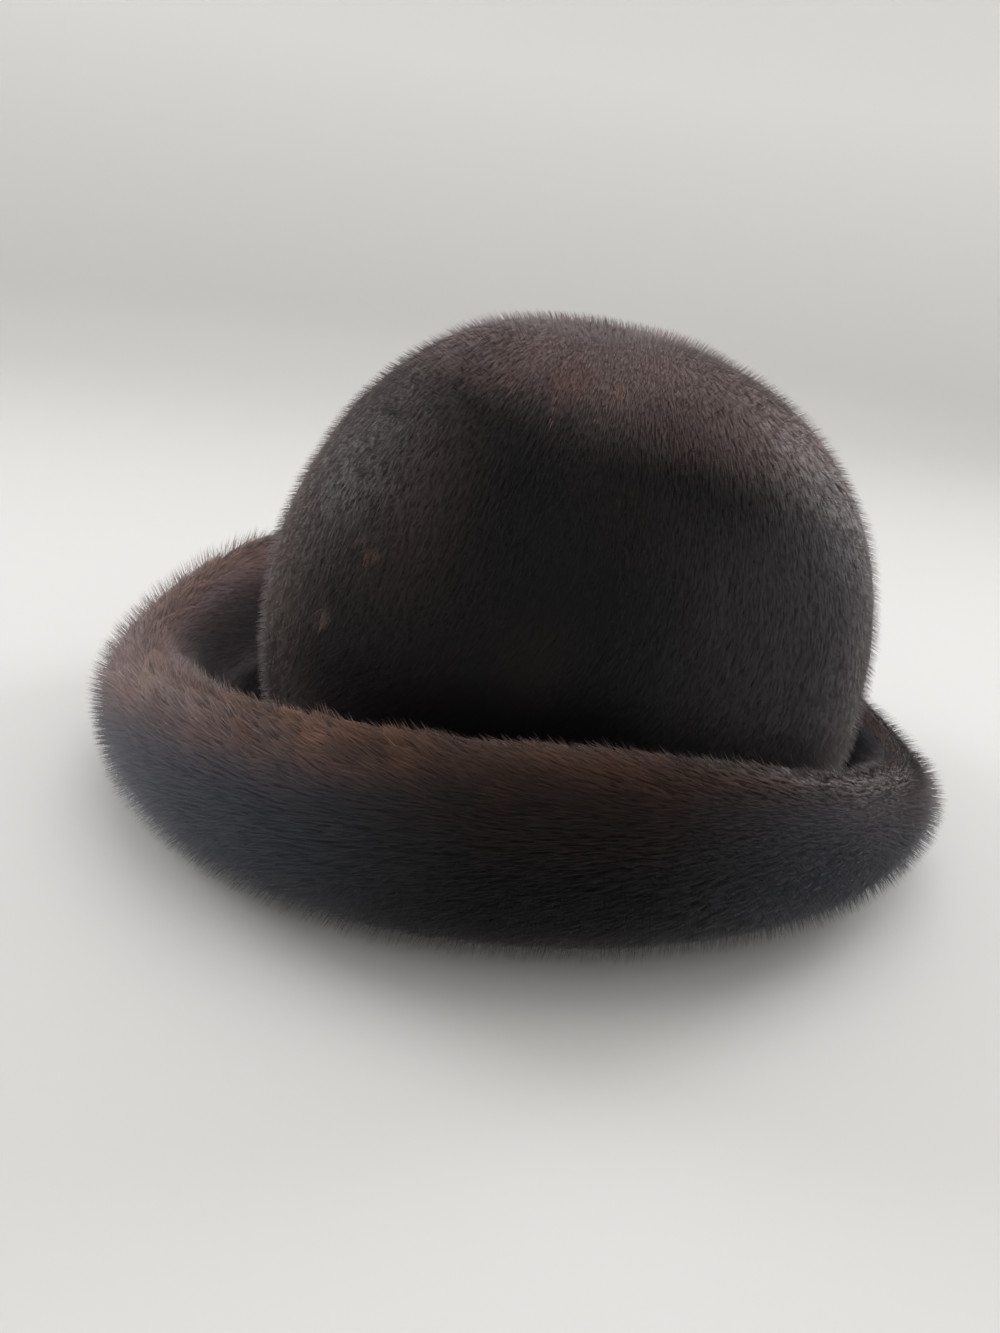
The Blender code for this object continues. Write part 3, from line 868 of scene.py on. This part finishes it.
def brim_look(places, normals, dice):
    """Deeper fur, chestnut along the crest, with light painted round the front, inside and behind, and a
    painted cool sheen on the ends.
    """
    angle, _, _, facing = round_the_brim(places, normals)
    from_front = np.degrees(np.abs(angle))
    degrees = np.degrees(facing)
    patches = waves(places, 0.035, dice)

    # The parts of the brim, by the angle from the front and by the way that the hide faces.
    front_end = 1 - ramp(from_front, 18, 52)
    forward = 1 - ramp(from_front, 95, 135)
    behind = ramp(from_front, 115, 140)
    leftward = ramp(np.sin(angle), -0.1, 0.35)
    under = ramp(-degrees, 35, 80)
    inward = ramp(degrees, 95, 125)
    # Low inside, the chestnut and painted light are cut back, which is painted shade, and a cool sheen is
    # painted in front.
    low_inside = inward * (1 - ramp(places[:, 2], 0.030, 0.055))
    side_crest = ramp(degrees, 50, 85) * ramp(from_front, 40, 60) * (1 - behind)

    # The crest is chestnut, and in front its hair is longer and gathers in tufts.
    table = np.array(CREST, float).T
    chestnut, start, full = (np.interp(from_front, table[0], column) for column in table[1:])
    ending = 1 - ramp(degrees, 115 + 30 * forward, 155 + 25 * forward)
    crest = ramp(degrees, start, full) * ending
    tufted = crest * (1 - inward) * (1 - ramp(from_front, 60, 85))
    tint = crest * chestnut * (1 - 0.7 * inward * front_end)
    tint = tint + OUTSIDE_CHESTNUT * ramp(degrees, -5, 30) * ending

    # Light is painted on the front, inside it too, and on the back.
    faded = FRONT_PAINTED_LIGHT * ramp(degrees, -10, 44) * front_end
    faded = faded + CREST_PAINTED_LIGHT * crest * (1 - ramp(from_front, 45, 75))
    faded = np.maximum(faded, INSIDE_PAINTED_LIGHT * inward * (1 - ramp(from_front, 50, 85)))
    back_painted_light = (BACK_PAINTED_LIGHT + LEFT_PAINTED_LIGHT * leftward) * ramp(from_front, 112, 140)
    faded = np.maximum(faded, back_painted_light * ramp(degrees, 0, 45))

    # A cool sheen is painted on the two ends, and inside behind and in front.
    foremost = 1 - ramp(from_front, 38 - 20 * (1 - leftward), 82 - 30 * (1 - leftward))
    ends = np.maximum(foremost * blend(FRONT_PAINTED_SHEEN, 1.0, ramp(from_front, 10, 32)),
                      (BACK_PAINTED_SHEEN + LEFT_PAINTED_SHEEN * leftward) * ramp(from_front, 92, 130))
    bloom = ends * (1 - ramp(degrees, 20 + 25 * behind, 65 + 35 * behind)) * (1 - 0.3 * under)
    bloom = np.maximum(bloom, INSIDE_PAINTED_SHEEN * inward * behind)

    # Inside the opening, where the hide just meets the crown's, it is plain and dark.
    shown = 1 - (1 - ramp(places[:, 2], 0.018, 0.022)) * ramp(degrees, 30, 60)

    length = (1.0 + 0.08 * patches + TUFTS_LONGER * tufted) * (1 - UNDER_SHORTER * under)
    raised = 4.0 * waves(places, 0.02, dice) + UNDER_RISE * under
    return {
        "length": length * (1 - INSIDE_SHORTER * inward) * (1 - SIDES_SHORTER * side_crest),
        "raised": raised + CREST_RISE * crest * ramp(from_front, 15, 45),
        "loft": SIDES_LOFT * side_crest,
        "unruly": BRIM_UNRULY + TUFTS_UNRULY * tufted,
        "gather": BRIM_GATHER + TUFTS_GATHER * tufted,
        "chestnut": np.clip(tint * (1 - 0.7 * low_inside) * (0.9 + 0.15 * patches), 0, 1) * shown,
        "faded": np.clip(faded * (1 - 0.7 * low_inside) * (0.85 + 0.15 * patches), 0, 1) * shown,
        "bloom": np.clip(bloom + (0.9 * inward + 0.7 * low_inside) * front_end, 0, 1) * shown,
    }


class FURHAT_OT_crown_fur(bpy.types.Operator):
    """Grows the crown's coats of fur on its hide"""

    bl_idname = "fur_hat.crown_fur"
    bl_label = "Crown Fur"

    def execute(self, context):
        fur = context.scene.fur_hat.fur
        bottom = CROWN_LOW.z + BARE_EDGE
        middle = np.array([*CROWN_MIDDLE, CROWN_HEART])

        def furred(places, normals):
            return ((normals * (places - middle)).sum(axis=1) > 0) & (places[:, 2] > bottom)

        coats = Fur("crown", fur.crown_length, fur.crown_tuft, crown_nap, crown_look, CROWN_SEED)
        hair = kept_material(crown_fur_material)
        grow(bpy.data.objects["crown_hide"], furred, fur.crown_hairs, coats, hair)
        return {"FINISHED"}


class FURHAT_OT_brim_fur(bpy.types.Operator):
    """Grows the brim's coats of fur on its hide"""

    bl_idname = "fur_hat.brim_fur"
    bl_label = "Brim Fur"

    def execute(self, context):
        fur = context.scene.fur_hat.fur

        def furred(places, normals):
            reach = np.linalg.norm((places[:, :2] - CROWN_MIDDLE) / CROWN_HALF, axis=1)
            outside = reach > TROUGH_START
            under = (normals[:, 2] < UNDERSIDE_FACING) & (reach > UNDERSIDE_START)
            return outside | under

        coats = Fur("brim", fur.brim_length, fur.brim_tuft, brim_nap, brim_look, BRIM_SEED)
        hair = kept_material(brim_fur_material)
        grow(bpy.data.objects["brim_hide"], furred, fur.brim_hairs, coats, hair)
        return {"FINISHED"}


# Stage


class FURHAT_OT_stage(bpy.types.Operator):
    """Adds the pale floor that rises into a wall all round, the lamps and the camera"""

    bl_idname = "fur_hat.stage"
    bl_label = "Stage"

    def execute(self, context):
        look = context.scene.fur_hat.stage
        deselect_all()
        bpy.ops.mesh.primitive_circle_add(vertices=FLOOR_SEGMENTS, radius=FLOOR_RADIUS, fill_type="NGON")
        floor = context.object
        floor.name = floor.data.name = "stage_floor"
        bpy.ops.object.mode_set(mode="EDIT")
        shape = bmesh.from_edit_mesh(floor.data)
        rim = shape.edges[:]
        for step in range(1, CORNER_STEPS + 2):
            turn = math.pi / 2 * min(step, CORNER_STEPS) / CORNER_STEPS
            made = bmesh.ops.extrude_edge_only(shape, edges=rim)["geom"]
            rim = [item for item in made if isinstance(item, bmesh.types.BMEdge)]
            radius = FLOOR_RADIUS + CORNER_RADIUS * math.sin(turn)
            height = CORNER_RADIUS * (1 - math.cos(turn)) + WALL_HEIGHT * (step > CORNER_STEPS)
            for item in made:
                if isinstance(item, bmesh.types.BMVert):
                    flat = item.co.to_2d().normalized() * radius
                    item.co = (flat.x, flat.y, height)
        bmesh.update_edit_mesh(floor.data)
        bpy.ops.object.mode_set(mode="OBJECT")
        bpy.ops.object.shade_smooth()
        floor.data.materials.append(kept_material(stage_material))

        world = bpy.data.worlds.new("pale_room")
        world.use_nodes = True
        background = world.node_tree.nodes["Background"]
        background.inputs["Color"].default_value = SKY_TINT
        background.inputs["Strength"].default_value = look.sky
        context.scene.world = world

        for lamp in LAMPS:
            light = bpy.data.lights.new(lamp.name, "AREA")
            light.shape = "DISK"
            light.size = lamp.width
            light.energy = getattr(look, lamp.strength)
            light.spread = math.radians(lamp.spread)
            light.color = lamp.tint
            holder = bpy.data.objects.new(lamp.name, light)
            holder.location = lamp.place
            holder.rotation_euler = (LAMPS_AIM - Vector(lamp.place)).to_track_quat("-Z", "Y").to_euler()
            context.scene.collection.objects.link(holder)

        camera = bpy.data.objects.new("camera", bpy.data.cameras.new("camera"))
        camera.data.lens = CAMERA_LENS
        camera.data.sensor_width = CAMERA_SENSOR
        up = CAMERA_BACK.cross(CAMERA_RIGHT).normalized()
        back = CAMERA_RIGHT.cross(up).normalized()
        turned = Matrix((CAMERA_RIGHT.normalized(), up, back)).transposed().to_4x4()
        camera.matrix_world = Matrix.Translation(CAMERA_PLACE) @ turned
        context.scene.collection.objects.link(camera)
        context.scene.camera = camera
        context.scene.view_settings.view_transform = "Standard"
        return {"FINISHED"}


# Panel


class FURHAT_PT_panel(bpy.types.Panel):
    """Lists the pieces of the fur hat"""

    bl_idname = "FURHAT_PT_panel"
    bl_label = "Fur Hat"
    bl_space_type = "VIEW_3D"
    bl_region_type = "UI"
    bl_category = "Fur Hat"

    def draw(self, context):
        settings = context.scene.fur_hat
        for group in (settings.hide, settings.fur, settings.colours, settings.stage):
            box = self.layout.box()
            for name in group.bl_rna.properties.keys():
                if name not in ("rna_type", "name"):
                    box.prop(group, name)
        for operator in OPERATORS:
            self.layout.operator(operator.bl_idname)


OPERATORS = (
    FURHAT_OT_crown_hide,
    FURHAT_OT_brim_hide,
    FURHAT_OT_crown_fur,
    FURHAT_OT_brim_fur,
    FURHAT_OT_stage,
)
CLASSES = (HideSizes, FurSizes, FurColours, StageLook, HatSettings) + OPERATORS + (FURHAT_PT_panel,)


def register():
    for item in CLASSES:
        bpy.utils.register_class(item)
    bpy.types.Scene.fur_hat = PointerProperty(type=HatSettings)


def unregister():
    del bpy.types.Scene.fur_hat
    for item in reversed(CLASSES):
        bpy.utils.unregister_class(item)


def main():
    register()
    bpy.ops.fur_hat.crown_hide()
    bpy.ops.fur_hat.brim_hide()
    bpy.ops.fur_hat.crown_fur()
    bpy.ops.fur_hat.brim_fur()
    bpy.ops.fur_hat.stage()


if __name__ == "__main__":
    main()
